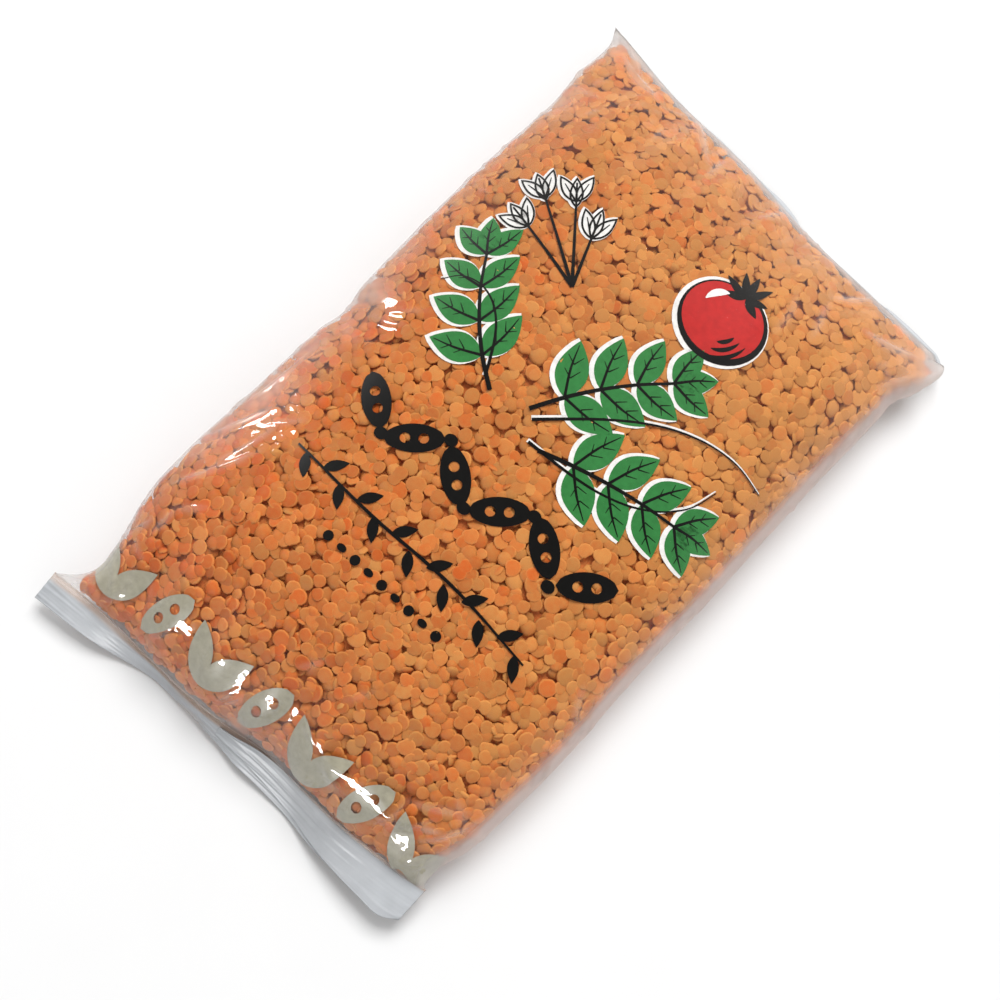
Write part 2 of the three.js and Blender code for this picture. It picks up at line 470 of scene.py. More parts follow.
class Pile:
    """Lentils laid one on another in the chart, from the deepest place up.

    The height of the pile is kept in each cell, below zero under the film.
    Each turn lays one lentil in every fourth tile, on the lowest cell there.
    The hems at the sides and both ends stay empty, as do the corners.
    """

    TILE = 28
    REACH = 8
    MISSES = 12
    NOTHING = -99
    TOUCH = 0.1
    THIN = 2.2
    ONE_LAYER = 7.0
    EMPTY_CORNERS = [(-82, -128, 12), (79, -119, 12), (-77, 134, 9), (83, 120, 10)]
    EMPTY_HEMS = {"left": 1.4, "right": 3.3, "top": 2.8, "bottom": 1.8}
    ROUNDS = (
        {"size": 1.0, "sink": 0.95, "gap": 1.1, "tilt": 0.15},
        {"size": 0.92, "sink": 1.4, "gap": 1.0, "tilt": 0.38},
        {"size": 0.84, "sink": 1.9, "gap": 1.0, "tilt": 0.5},
    )
    FLAT_UP = 0.6
    RIM_HEIGHT = 0.34
    DOME_RISE = 0.66
    SOFTNESS = 0.9
    STEEPEST = 0.9
    ON_EDGE = 420

    def __init__(self, chart, settings):
        self.chart = chart
        self.settings = settings
        self.random = np.random.default_rng(settings.seed)
        thick = chart.thickness
        shared = np.where(thick < self.ONE_LAYER, thick * 0.94, thick / 2)
        top = -np.minimum(settings.depth, shared)
        self.height = np.where(chart.is_upper, top, -np.minimum(settings.depth * 0.75, thick / 2))
        self.closed = (thick < self.THIN) | (~chart.is_upper & (thick < self.ONE_LAYER))
        for across, along, reach in self.EMPTY_CORNERS:
            corner = np.array([across, along]) + SHIFT[:2]
            self.closed |= np.linalg.norm(chart.place[..., :2] - corner, axis=-1) < reach
        for side, width in self.EMPTY_HEMS.items():
            self.closed |= chart.inside[side] < width
        self.owner = np.full(thick.shape, -1)
        self.found = []
        self.count = 0

    def run(self):
        for rule in self.ROUNDS:
            self.full = self.closed.copy()
            misses = 0
            turn = 0
            while misses < self.MISSES:
                placed = self.lay_one_per_tile(turn % 4, rule)
                misses = 0 if placed else misses + 1
                turn += 1
        return self.gather()

    def lay_one_per_tile(self, phase, rule):
        tile = self.TILE
        chart = self.chart
        rows = chart.rows // tile
        columns = chart.columns // tile // 2 * 2
        first_row = self.random.integers(0, chart.rows - rows * tile + 1)
        first_column = self.random.integers(0, chart.columns)
        low = np.where(self.full, 9.0, self.height)[first_row:first_row + rows * tile]
        low = np.roll(low, -first_column, axis=1)[:, :columns * tile]
        low = low + self.random.uniform(0, 0.6, low.shape)
        blocks = low.reshape(rows, tile, columns, tile).transpose(0, 2, 1, 3)
        blocks = blocks[phase // 2::2, phase % 2::2]
        block_row, block_column = np.indices(blocks.shape[:2]).reshape(2, -1) * 2
        blocks = blocks.reshape(-1, tile * tile)
        best = blocks.argmin(1)
        row = (block_row + phase // 2) * tile + best // tile + first_row
        column = ((block_column + phase % 2) * tile + best % tile + first_column) % chart.columns
        open_enough = blocks[np.arange(len(best)), best] < -self.TOUCH - rule["gap"]
        return self.lay(row[open_enough], column[open_enough], rule) if open_enough.any() else 0

    def lay(self, row, column, rule):
        """Rests one lentil on what lies under it at each of the given cells."""
        chart = self.chart
        random = self.random
        mean = self.settings.diameter / 2
        count = len(row)
        radius = mean * np.clip(1 + self.settings.spread * random.standard_normal(count), 0.8, 1.2)
        radius = radius * rule["size"]
        thick = self.settings.thickness * radius / mean * random.uniform(0.8, 1.2, count)
        flat_up = random.random(count) < self.FLAT_UP
        jitter = random.normal(0, rule["tilt"], (2, count))
        step = np.arange(-self.REACH, self.REACH + 1)
        i = np.clip(row[:, None, None] + step[None, :, None], 0, chart.rows - 1)
        j = (column[:, None, None] + step[None, None, :]) % chart.columns
        i, j = np.broadcast_arrays(i, j)
        offset = chart.place[i, j] - chart.place[row, column][:, None, None]
        ways = chart.ways(row, column)
        a, b, bend = ((offset * way[:, None, None]).sum(-1) for way in ways)

        def wide(values):
            return values[:, None, None]

        def highest(values):
            return np.where(inside, values, self.NOTHING).max((1, 2))

        away = (a * a + b * b) / wide(radius) ** 2
        inside = away <= 1.0
        under = self.height[i, j] + bend
        weight = inside * np.exp((under - wide(highest(under))) / self.SOFTNESS)
        total = weight.sum((1, 2))

        def mean_of(values):
            return (weight * values).sum((1, 2)) / total

        da, db, dh = (values - wide(mean_of(values)) for values in (a, b, under))
        saa = mean_of(da * da) + 0.35
        sbb = mean_of(db * db) + 0.35
        sab, sah, sbh = mean_of(da * db), mean_of(da * dh), mean_of(db * dh)
        det = saa * sbb - sab * sab
        slope = np.stack([(sah * sbb - sbh * sab) / det, (sbh * saa - sah * sab) / det]) + jitter
        slope = slope * np.minimum(1, self.STEEPEST / np.maximum(np.hypot(*slope), 1e-6))
        dome = np.sqrt(np.clip(1 - away, 0, 1)) * self.DOME_RISE + self.RIM_HEIGHT
        above = wide(thick) * np.where(wide(flat_up), np.where(away < 0.88, 1.0, 0.7), dome)
        below = wide(thick) * np.where(wide(flat_up), 1 - dome, 0.0)

        def rest(slope):
            lean = wide(np.sqrt(1 + (slope ** 2).sum(0)))
            plane = wide(slope[0]) * a + wide(slope[1]) * b
            base = highest(under - plane - below * lean)
            skin = plane + above * lean - bend
            return base, skin, highest(skin) + base

        top = rest(slope)[2]
        slope = slope * np.where(top > -0.35, 0.5, np.where(top > -1.2, 0.8, 1.0))
        base, skin, top = rest(slope)
        push = np.maximum(0, top + self.TOUCH)
        keep = push <= rule["sink"]
        base = base - push
        for n in np.nonzero(~keep)[0]:
            self.full[i[n, 6:11, 6:11], j[n, 6:11, 6:11]] = True
        if not keep.any():
            return 0
        new = np.where(inside, wide(base) + skin, self.NOTHING)[keep]
        i, j = i[keep], j[keep]
        index = self.count + np.arange(keep.sum())
        old = self.height[i, j]
        self.owner[i, j] = np.where(new > old, wide(index), self.owner[i, j])
        self.height[i, j] = np.maximum(old, new)
        self.count += len(index)
        laid = [row, column, base, slope[0], slope[1], radius, thick, flat_up]
        self.found.append(np.stack(laid, 1)[keep])
        return len(index)

    def on_edge(self):
        """Lentils that stand in gaps of the upper layer."""
        random = self.random
        gap = (self.height < -0.7) & (self.height > -2.6) & ~self.closed
        row, column = np.nonzero(gap & (self.chart.thickness > 12))
        pick = random.permutation(len(row))[:self.ON_EDGE]
        radius = self.settings.diameter / 2 * random.uniform(0.8, 1.0, len(pick))
        lean = np.radians(random.uniform(52, 76, len(pick)))
        way = random.uniform(0, 2 * np.pi, len(pick))
        slope = np.tan(lean) * np.stack([np.cos(way), np.sin(way)])
        base = -0.25 - radius * np.sin(lean)
        thick = self.settings.thickness * random.uniform(0.8, 1.1, len(pick))
        return np.stack([row[pick], column[pick], base, *slope, radius, thick, 0 * base], 1)

    def gather(self):
        """Places, turns and sizes of the lentils that can be seen."""
        chart = self.chart
        random = self.random
        laid = np.concatenate(self.found)
        seen = np.bincount(self.owner[self.owner >= 0], minlength=self.count) >= 3
        laid = np.concatenate([laid[seen], self.on_edge()])
        row, column = laid[:, :2].T.astype(int)
        base, slope_a, slope_b, radius, thick, flat_up = laid[:, 2:].T
        round_way, long_way, normal = chart.ways(row, column)
        up = unit(normal - slope_a[:, None] * round_way - slope_b[:, None] * long_way)
        side = unit(round_way - (round_way * up).sum(1, keepdims=True) * up)
        place = chart.place[row, column] + normal * base[:, None]
        flip = flat_up[:, None] > 0.5
        place = np.where(flip, place + up * thick[:, None], place)
        up = np.where(flip, -up, up)
        lean = np.sqrt(np.clip(1 - up[:, 2] ** 2, 0, 1))
        lowest = place[:, 2] + np.minimum(0, up[:, 2]) * thick - lean * radius
        place[:, 2] += np.maximum(0, 0.1 - lowest)
        spin = random.uniform(0, 2 * np.pi, len(laid))[:, None]
        x_way = side * np.cos(spin) + np.cross(up, side) * np.sin(spin)
        y_way = np.cross(up, x_way)
        turn = np.stack([
            np.arctan2(y_way[:, 2], up[:, 2]),
            -np.arcsin(np.clip(x_way[:, 2], -1, 1)),
            np.arctan2(x_way[:, 1], x_way[:, 0]),
        ], 1)
        oval = 1 + 0.03 * np.clip(random.standard_normal((2, len(laid))), -2, 1)
        size = np.stack([radius * oval[0], radius * oval[1], thick], 1)
        # Tone rising toward the right and the top end is painted light and shade; the random spread
        # is each lentil's own.
        tone_mean_painted_light = 0.5 + 0.18 * place[:, 0] / 80 + 0.18 * place[:, 1] / 110
        tone = np.clip(random.normal(tone_mean_painted_light, 0.15), 0, 1)
        return {"place": place, "turn": turn, "size": size, "tone": tone}


def pass_over(field, reach, join):
    """Joins each cell with its neighbours both ways, wrapped round the bag only."""
    out = field
    for axis in (0, 1):
        pads = [(reach, reach) if k == axis else (0, 0) for k in (0, 1)]
        padded = np.pad(out, pads, mode="edge" if axis == 0 else "wrap")
        window = np.lib.stride_tricks.sliding_window_view(padded, 2 * reach + 1, axis=axis)
        out = join(window, axis=-1)
    return out


# The film's larger creases: across, along, angle in degrees, length, width and height

HAND_CREASES = [
    (60, -98, 30, 22, 1.4, 0.6), (16, -108, -28, 12, 1.1, 0.6), (62, -104, 22, 9, 1.3, 0.8),
    (-63, -70, 56, 34, 1.2, 1.1), (-60, -58, 76, 30, 1.1, 0.8), (-68, -52, 60, 26, 1.2, 0.9),
    (-56, -44, 40, 16, 1.1, 0.7), (-70, -34, 80, 30, 1.2, 0.9), (-63, -92, 64, 14, 1.0, 0.8),
    (-68, -97, 40, 12, 1.0, 0.8), (-71, -103, 12, 11, 1.0, 0.7), (-64, -103, -30, 9, 1.0, 0.6),
    (-74, -86, 85, 16, 1.1, 0.8), (68, -100, 75, 22, 1.2, 1.0), (-57, 122, -12, 26, 1.9, 1.5),
    (-62, 126, -38, 14, 1.7, 1.3), (-28, 120, -38, 30, 1.7, 1.2), (-16, 114, -70, 16, 1.5, 0.9),
    (-57, 2, 16, 20, 0.9, 0.5), (-54, 8, 34, 18, 0.9, 0.4), (-66, 6, 24, 26, 2.6, 0.5),
    (-64, -8, -18, 20, 2.2, 0.5), (46, 112, 60, 24, 1.6, 1.0), (64, 108, 30, 24, 1.7, 1.1),
    (72, 100, 70, 20, 1.6, 1.0), (-12, -117, 84, 12, 1.3, 0.8), (-40, -117, 76, 14, 1.3, 0.8),
    (8, 114, 82, 16, 1.3, 0.9),
]
# Places where the film bridges the lentils, written like the creases
TAUT_PLACES = [(39, -109.5, 5, 56, 5.5, 1), (-60, -62, 43, 34, 5.0, 1)]
# Hazy places: across, along, reach and strength
HAZY_PLACES = [
    (-76, 131, 11, 0.55), (80, 117, 12, 0.7), (-78, -124, 9, 0.35), (75, -114, 7, 0.4),
    (-4, -122, 8, 0.4), (10, -119, 6, 0.25), (-76, -58, 10, 0.5), (-73, -40, 12, 0.55),
    (-73, -20, 10, 0.4), (-73, 6, 10, 0.5), (-75, 24, 8, 0.4), (-73, 100, 9, 0.4),
]


class Wrap:
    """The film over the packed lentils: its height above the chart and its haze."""

    HAZY_HEMS = {"left": (0.8, 2.2, 0.45), "right": (1.6, 2.2, 0.8), "top": (1.4, 2.0, 0.75)}
    AT_ENDS = 0.62

    def __init__(self, chart, pile_height, settings, seed):
        self.chart = chart
        near = pass_over(pile_height, 2, np.max)
        loose = pass_over(pass_over(near, 4, np.max), 6, np.mean)
        firm = pass_over(np.maximum(loose, near), 2, np.mean)
        bridge = pass_over(pass_over(near, 6, np.max), 12, np.mean)
        lift = np.maximum(firm, pass_over(near, 1, np.mean)) + settings.slack
        crest = CREASES["height"] * rise_and_fall(chart.inside["bottom"] / CREASES["reach"])
        bridge = bridge + crest - crease_height(chart.across, chart.inside["bottom"])
        taut = np.clip(1.4 * self.ridges(TAUT_PLACES), 0, 1)
        lift = lift + (bridge + settings.slack - lift) * taut
        lift = np.clip(lift, 0.0, None) * np.clip((chart.thickness - 1.6) / 2.5, 0, 1)
        off_floor = np.clip(chart.place[..., 2] / 1.2, 0, 1)
        crease = self.ridges(HAND_CREASES)
        self.scatter_creases(crease, settings.creases, np.random.default_rng(seed + 5))
        crease = crease * off_floor
        self.lift = pass_over(lift * off_floor, 1, np.mean) + crease
        self.haze = self.find_haze(crease)

    def ridges(self, places):
        """Height over the grid of the creases in a list."""
        height = np.zeros(self.chart.u.shape)
        for across, along, angle, *shape in places:
            row, column = self.chart.nearest(across, along)
            self.add_crease(height, row, column, math.radians(angle), *shape)
        return height

    def scatter_creases(self, height, count, random):
        """Adds small creases, most of them at the two ends and the rest along the sides."""
        chart = self.chart
        for _ in range(count):
            if random.random() < self.AT_ENDS:
                inset = int(abs(random.normal(0, 34)) + 6)
                row = inset if random.random() < 0.5 else chart.rows - 1 - inset
                column = random.integers(0, chart.columns)
                angle = math.pi / 2 + random.normal(0, 0.42)
            else:
                row = random.integers(0, chart.rows)
                side = 0 if random.random() < 0.5 else chart.top_columns
                column = int(side + random.normal(0, 26)) % chart.columns
                angle = random.normal(0, 0.5)
            shape = (random.uniform(6, 22), random.uniform(0.8, 1.5), random.uniform(0.15, 0.6))
            self.add_crease(height, row, column, angle, *shape)

    def add_crease(self, height, row, column, angle, length, width, high):
        """One ridge with pointed ends and a slight bend."""
        chart = self.chart
        reach = int(length / 2 / chart.CELL) + 8
        i = np.arange(max(0, row - reach), min(chart.rows, row + reach + 1))
        j = np.arange(column - reach, column + reach + 1)
        a = (j - column)[None, :] * chart.CELL
        b = (i - row)[:, None] * chart.CELL
        along = a * math.cos(angle) + b * math.sin(angle)
        away = b * math.cos(angle) - a * math.sin(angle)
        away = away + 0.06 * length * np.cos(along / length * math.pi) - 0.04 * length
        taper = np.clip(1 - (2 * along / length) ** 2, 0, 1)
        ridge = high * taper * bell(away, width * (0.35 + 0.65 * taper))
        grid = np.ix_(i, j % chart.columns)
        height[grid] = np.maximum(height[grid], ridge)

    def find_haze(self, crease):
        """How milky the film is: at both ends, the sides, the corners and the creases, plus a painted
        reflection.
        """
        chart = self.chart
        row = np.arange(chart.rows)[:, None] * chart.CELL
        haze = 0.5 * bell(row, 2.2) + np.zeros(chart.u.shape)
        for side, (full, fade, strength) in self.HAZY_HEMS.items():
            past = np.maximum(chart.inside[side] - full, 0)
            haze = np.maximum(haze, strength * bell(past, fade))
        for across, along, reach, strength in HAZY_PLACES:
            gap = np.hypot(chart.place[..., 0] - across, chart.place[..., 1] - along)
            haze = np.maximum(haze, strength * bell(gap, reach))
        # Milkier toward the top end: a painted reflection of soft light.
        painted_reflection = 0.04 * np.clip(chart.place[..., 1] / 90, 0, 1)
        return np.clip(haze + painted_reflection + 0.36 * np.clip(crease / 0.9, 0, 1), 0, 0.85)

    def surface(self, cell):
        """Points, faces and haze of the film, with an end face at both ends."""
        chart = self.chart
        size = chart.CELL
        rows = int(chart.rows * size / cell)
        top = int(chart.top_columns * size / cell)
        under = int((chart.columns - chart.top_columns) * size / cell / 2)
        column = np.concatenate([
            np.linspace(0, chart.top_columns, top, endpoint=False),
            np.linspace(chart.top_columns, chart.columns, under, endpoint=False),
        ])
        row, column = np.meshgrid(np.linspace(0, chart.rows - 1, rows), column, indexing="ij")
        normal = unit(chart.sample(chart.normal, row, column))
        lift = chart.sample(self.lift, row, column)
        points = chart.sample(chart.place, row, column) + normal * lift[..., None]
        points[..., 2] = np.maximum(points[..., 2], 0.02)
        points = round_ears(points).reshape(-1, 3)
        return points, tube_faces(*row.shape), chart.sample(self.haze, row, column).ravel()


# Shader tools

def make(tree, kind, slots=(), **values):
    """Adds a node. A value is a setting, a socket's value, or an output to link.

    A socket's name has underscores for its spaces, and a node stands for its
    first output.
    """
    found = tree.nodes.new(kind if "Node" in kind else "ShaderNode" + kind)
    given = list(enumerate(slots))
    for name, value in values.items():
        socket = name.replace("_", " ")
        if socket in found.inputs:
            given.append((socket, value))
        else:
            setattr(found, name, value)
    for socket, value in given:
        if isinstance(value, bpy.types.Node):
            value = value.outputs[0]
        if isinstance(value, bpy.types.NodeSocket):
            tree.links.new(value, found.inputs[socket])
        else:
            found.inputs[socket].default_value = value
    return found


def add_sockets(tree, **sockets):
    """Named sockets of a group: a number is an input, and None an output."""
    for name, value in sockets.items():
        way = "OUTPUT" if value is None else "INPUT"
        socket = tree.interface.new_socket(name, in_out=way, socket_type="NodeSocketFloat")
        if value is not None:
            socket.default_value = value


def new_material(name):
    material = bpy.data.materials.new(name)
    material.use_nodes = True
    material.node_tree.nodes.clear()
    return material, material.node_tree


def noise_group():
    """A coarse uneven tone, and a fine grain as a height."""
    group = bpy.data.node_groups.new("uneven_tone", "ShaderNodeTree")
    add_sockets(group, Scale=400, Detail=3, Tone=None, Height=None)
    start = make(group, "NodeGroupInput").outputs
    place = make(group, "TexCoord").outputs["Object"]
    detail = start["Detail"]
    coarse = make(group, "TexNoise", Vector=place, Scale=start["Scale"], Detail=detail)
    times = make(group, "Math", [start["Scale"], 4.5], operation="MULTIPLY")
    fine = make(group, "TexNoise", Vector=place, Scale=times, Detail=detail, Roughness=0.65)
    make(group, "NodeGroupOutput", Tone=coarse.outputs["Fac"], Height=fine.outputs["Fac"])
    return group


def place_noise(tree, scale, detail):
    group = bpy.data.node_groups.get("uneven_tone") or noise_group()
    return make(tree, "Group", node_tree=group, Scale=scale, Detail=detail).outputs


def ramp(tree, source, stops):
    """A colour ramp with the given (position, colour) stops."""
    found = make(tree, "ValToRGB", Fac=source)
    elements = found.color_ramp.elements
    while len(elements) < len(stops):
        elements.new(0.5)
    for element, (position, shade) in zip(elements, stops):
        element.position = position
        element.color = (*shade, 1.0)
    return found


def bump(tree, source, strength, distance):
    return make(tree, "Bump", Strength=strength, Distance=distance, Height=source)


def attribute(tree, name):
    return make(tree, "Attribute", attribute_name=name).outputs["Fac"]


def times_add(tree, source, factor, extra):
    return make(tree, "Math", [source, factor, extra], operation="MULTIPLY_ADD", use_clamp=True)


def mix_colours(tree, factor, first, second):
    found = make(tree, "Mix", data_type="RGBA", Factor=factor, A=first, B=(*second, 1.0))
    return found.outputs["Result"]


def finish(material, factor, first, second):
    """Ends a material in a mix of two shaders."""
    tree = material.node_tree
    make(tree, "OutputMaterial", Surface=make(tree, "MixShader", [factor, first, second]))
    return material


def tinted(shade, factor):
    return tuple(min(1.0, channel * factor) for channel in shade)


def lentil_material(name, pale, deep):
    """Dry split lentil: its own tone plus painted shade, a lighter edge partly painted highlight, a
    fine mottle.
    """
    material, tree = new_material(name)
    mottle = place_noise(tree, 700, 1.0)
    # The tone attribute holds each lentil's own tone and painted light and shade across the bag.
    tone = times_add(tree, mottle["Tone"], 0.5, attribute(tree, "tone"))
    tone = times_add(tree, tone, 1.0, -0.25)
    middle = tuple((a + b) / 2 for a, b in zip(pale, deep))
    body = ramp(tree, tone, [(0.0, deep), (0.5, middle), (1.0, pale)])
    # Lighter toward the edge: partly the lentil's own edge colour, partly a painted highlight.
    rim = times_add(tree, attribute(tree, "rim"), 0.42, 0.0)
    shader = make(
        tree, "BsdfPrincipled", Base_Color=mix_colours(tree, rim, body, tinted(pale, 1.3)),
        Specular_IOR_Level=0.3, Roughness=0.6, Normal=bump(tree, mottle["Height"], 0.3, 0.0003))
    glow = make(tree, "BsdfTranslucent", Color=(0.98, 0.42, 0.13, 1))
    return finish(material, 0.22, shader, glow)


def plain_material(name, low, high, roughness, scale, relief):
    """A mottled matt colour with a slight grain."""
    material, tree = new_material(name)
    mottle = place_noise(tree, scale, 4.0)
    shader = make(
        tree, "BsdfPrincipled", Base_Color=ramp(tree, mottle["Tone"], [(0.3, low), (0.7, high)]),
        Specular_IOR_Level=0.4, Roughness=roughness, Normal=bump(tree, mottle["Height"], *relief))
    make(tree, "OutputMaterial", Surface=shader)
    return material


def film_material(settings):
    """Clear film: see-through face on, mirror-like at a slant, milky where it is creased."""
    material, tree = new_material("clear_film")
    crinkle = bump(tree, place_noise(tree, 60, 1.0)["Height"], 0.12, 0.0012)
    gloss = make(
        tree, "BsdfPrincipled", Base_Color=(1, 1, 1, 1), Metallic=1.0,
        Roughness=settings.roughness, Normal=crinkle)
    outer, inner = (make(tree, "Fresnel", IOR=ior, Normal=crinkle) for ior in (1.5, 1 / 1.5))
    back = make(tree, "NewGeometry").outputs["Backfacing"]
    fresnel = make(tree, "Mix", data_type="FLOAT", Factor=back, A=outer, B=inner)
    clean = make(tree, "MixShader", [fresnel, make(tree, "BsdfTransparent"), gloss])
    tone = place_noise(tree, 90, 2.0)["Tone"]
    shade = ramp(tree, tone, [(0.3, tinted(settings.haze, 0.85)), (0.7, tuple(settings.haze))])
    face = make(tree, "BsdfPrincipled", Base_Color=shade, Roughness=0.35, Normal=crinkle)
    through_light = make(tree, "BsdfTranslucent", Color=(0.9, 0.88, 0.86, 1))
    milky = make(tree, "MixShader", [0.45, face, through_light])
    spread = times_add(tree, tone, 1.2, 0.4)
    amount = make(tree, "Math", [attribute(tree, "haze"), spread], operation="MULTIPLY")
    seen = make(tree, "MixShader", [amount, clean, milky])
    shadow = make(tree, "LightPath").outputs["Is Shadow Ray"]
    lets_by = make(tree, "BsdfTransparent", Color=(0.92, 0.92, 0.92, 1))
    return finish(material, shadow, seen, lets_by)


def seal_material(name, milk):
    """Two films pressed into one: milky, partly clear, softly glossy, with a painted lentil glow at
    the root.
    """
    material, tree = new_material(name)
    mottle = place_noise(tree, 70, 4.0)
    cool = ramp(tree, mottle["Tone"], [(0.3, tinted(milk, 0.88)), (0.7, tinted(milk, 1.08))])
    # Brown where the fin is clearer, near its root: painted light scattered from the lentils.
    painted_lentil_bounce = times_add(tree, attribute(tree, "milk"), -3.0, 2.1)
    shader = make(
        tree, "BsdfPrincipled", Base_Color=mix_colours(tree, painted_lentil_bounce, cool, (0.58, 0.42, 0.32)),
        Specular_IOR_Level=0.4, Roughness=0.36, Normal=bump(tree, mottle["Height"], 0.12, 0.0005))
    clear = make(tree, "BsdfTransparent")
    return finish(material, attribute(tree, "milk"), clear, shader)


# Lentils as instances on packed points

LENTIL_SIDES = 12
# Rings of a lentil: radius, height and how much of the lighter edge shows, partly a painted highlight
LENTIL_RINGS = [(0.64, 0.80, 0.0), (1.00, 0.38, 1.0), (0.93, 0.08, 1.0), (0.76, 0.0, 0.0)]


def half_lentil(kind):
    """One split lentil of unit radius and thickness: a low dome on a flat face."""
    angles = np.arange(LENTIL_SIDES) * 2 * math.pi / LENTIL_SIDES
    uneven = 1 + 0.035 * np.cos(2 * angles + kind) + 0.035 * np.cos(3 * angles + 2.3 * kind)
    flat_side = 1 - 0.06 * kind * bell(angles - 2, 0.5)
    points = [(0, 0, 1.0)]
    # Share of the lighter edge at each point, partly a painted highlight
    rim = [0.0]
    for radius, height, edge in LENTIL_RINGS:
        out = radius * uneven * flat_side
        points += [(r * math.cos(a), r * math.sin(a), height) for r, a in zip(out, angles)]
        rim += [edge] * LENTIL_SIDES
    points.append((0, 0, 0.0))
    rim.append(0.0)
    index = 1 + np.arange(len(LENTIL_RINGS) * LENTIL_SIDES).reshape(-1, LENTIL_SIDES)
    index = np.concatenate([index, index[:, :1]], 1)
    faces = grid_faces(index)[:, ::-1].tolist()
    for k in range(LENTIL_SIDES):
        faces.append([0, index[0, k], index[0, k + 1]])
        faces.append([len(points) - 1, index[-1, k + 1], index[-1, k]])
    piece = add_mesh("half_lentil", np.array(points) / MM, faces)
    add_values(piece, "rim", rim)
    return piece


def scatter_tree(lentil, material):
    """Instances of one lentil on points that carry their own turn and size."""
    tree = bpy.data.node_groups.new("scatter_lentils", "GeometryNodeTree")
    for way in ("INPUT", "OUTPUT"):
        tree.interface.new_socket("Geometry", in_out=way, socket_type="NodeSocketGeometry")
    add_sockets(tree, Unit=MM)
    start = make(tree, "NodeGroupInput").outputs
    source = make(tree, "GeometryNodeObjectInfo", transform_space="ORIGINAL", Object=lentil)
    turn, size = (
        make(tree, "GeometryNodeInputNamedAttribute", data_type="FLOAT_VECTOR", Name=name)
        for name in ("turn", "size")
    )
    euler = make(tree, "FunctionNodeEulerToRotation", Euler=turn.outputs["Attribute"])
    scale = make(
        tree, "VectorMath", [size.outputs["Attribute"]], operation="SCALE", Scale=start["Unit"])
    put = make(
        tree, "GeometryNodeInstanceOnPoints", Points=start["Geometry"],
        Instance=source.outputs["Geometry"], Rotation=euler, Scale=scale)
    real = make(tree, "GeometryNodeRealizeInstances", Geometry=put)
    paint = make(tree, "GeometryNodeSetMaterial", Geometry=real, Material=material)
    make(tree, "NodeGroupOutput", Geometry=paint)
    return tree


def realize(carrier, tree, name):
    """Runs a Geometry Nodes tree on an object and keeps the result as a plain mesh."""
    carrier.modifiers.new("nodes", "NODES").node_group = tree
    graph = bpy.context.evaluated_depsgraph_get()
    mesh = bpy.data.meshes.new_from_object(carrier.evaluated_get(graph))
    bpy.data.objects.remove(carrier)
    mesh.shade_smooth()
    return link_object(name, mesh)


# What the operators share

WORK = {}


def shared_work():
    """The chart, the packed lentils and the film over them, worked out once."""
    if not WORK:
        scene = bpy.context.scene
        chart = Chart()
        pile = Pile(chart, scene.bag_lentils)
        WORK["lentils"] = pile.run()
        WORK["chart"] = chart
        WORK["wrap"] = Wrap(chart, pile.height, scene.bag_film, scene.bag_lentils.seed)
        print("lentils laid", pile.count, "kept", len(WORK["lentils"]["tone"]))
    return WORK


class BAG_OT_film(bpy.types.Operator):
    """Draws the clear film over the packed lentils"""

    bl_idname = "bag.film"
    bl_label = "Clear film"

    def execute(self, context):
        settings = context.scene.bag_film
        points, faces, haze = shared_work()["wrap"].surface(settings.cell)
        piece = add_mesh("film", points, faces)
        add_values(piece, "haze", haze)
        face_outwards(piece)
        dress(piece, film_material(settings))
        WORK["film"] = piece
        return {"FINISHED"}


class BAG_OT_lentils(bpy.types.Operator):
    """Lays the split lentils and the dark core behind them"""

    bl_idname = "bag.lentils"
    bl_label = "Lentils"

    NAMES = ["lentils_a", "lentils_b", "lentils_c", "lentils_d", "lentils_e"]
    CORE_STEP = 6
    CORE_ROOM = 13

    def execute(self, context):
        settings = context.scene.bag_lentils
        laid = shared_work()["lentils"]
        order = np.random.default_rng(settings.seed + 1).permutation(len(laid["tone"]))
        for kind, name in enumerate(self.NAMES):
            mine = order[kind::len(self.NAMES)]
            shade = 1 + 0.06 * (kind - 2)
            pale, deep = tinted(settings.pale, shade), tinted(settings.deep, shade)
            points = add_mesh(name + "_points", laid["place"][mine], [], smooth=False)
            for value in ("turn", "size", "tone"):
                add_values(points, value, laid[value][mine])
            source = half_lentil(kind)
            tree = scatter_tree(source, lentil_material(name, pale, deep))
            dress(realize(points, tree, name))
            bpy.data.objects.remove(source)
        self.add_core(WORK["chart"], settings)
        return {"FINISHED"}

    def add_core(self, chart, settings):
        """A closed dark form inside the layer of loose lentils."""
        rows = np.arange(0, chart.rows, self.CORE_STEP)
        rows = rows[chart.thickness[rows, chart.top_columns // 2] > self.CORE_ROOM]
        grid = np.ix_(rows, np.arange(0, chart.columns, self.CORE_STEP))
        most = np.where(chart.is_upper[grid], settings.depth * 0.54, settings.depth * 0.5)
        depth = np.minimum(most, 0.42 * chart.thickness[grid])
        points = chart.place[grid] - chart.normal[grid] * depth[..., None]
        piece = add_mesh("core", points, tube_faces(*depth.shape))
        face_outwards(piece)
        low, high = (0.60, 0.16, 0.04), (0.80, 0.28, 0.08)
        dress(piece, plain_material("lentil_core", low, high, 0.9, 300, (0.6, 0.001)))


# The sealed fins

FIN_GRID = (44, 260)
FIN_THICK = 0.28
CRIMP = {"pitch": 1.25, "height": 0.02}
FOLDS = {"at": (0.3, 0.55, 0.84), "height": 0.22}
TAB = {"from": -8, "to": 78, "lift": 0.45, "slit": 0.9}
TAB_OUTER = [(-8, 0.62), (2, 0.66), (20, 0.78), (45, 0.97), (62, 1.06), (78, 1.04)]
TAB_INNER = [(-8, 0.14), (6, 0.0), (30, -0.12), (78, -0.1)]


